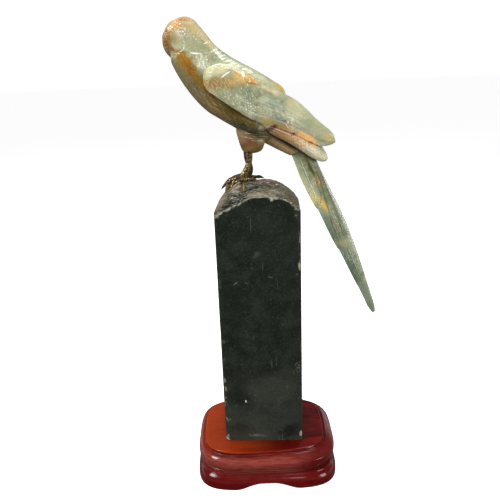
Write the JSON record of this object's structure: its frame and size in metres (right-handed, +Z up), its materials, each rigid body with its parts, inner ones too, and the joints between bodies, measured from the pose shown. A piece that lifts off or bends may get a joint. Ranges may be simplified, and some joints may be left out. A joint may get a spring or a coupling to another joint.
{
  "type": "carved stone parrot on a column with a wooden stand",
  "caption": "Long-tailed parrot carved in milky green and amber stone, perched on brass legs on an upright stone column with a footed, moulded lacquer stand.",
  "frame": {"origin": "middle of the whole object's footprint, tail included, on the surface it stands on", "axes": "+Z up; the bird looks towards -X and its tail hangs towards +X; -Y is the side the picture shows"},
  "size_m": [0.182, 0.1138, 0.4148],
  "materials": {
    "parrot_stone": "polished, milky and translucent, with carved lines",
    "tail_stone": "polished, milky and translucent, with carved lines",
    "leg_brass": "cast, dulled, with a scaly surface",
    "column_stone": "semi-polished faces and a rough, broken top",
    "stand_lacquer": "glossy red-brown lacquer over wood grain"
  },
  "bodies": {
    "root": {"parrot_body": "parrot_stone", "parrot_tail": "tail_stone", "left_leg": "leg_brass", "right_leg": "leg_brass", "stone_column": "column_stone", "stand_top_board": "stand_lacquer", "stand_foot_board": "stand_lacquer"}
  },
  "joints": []
}
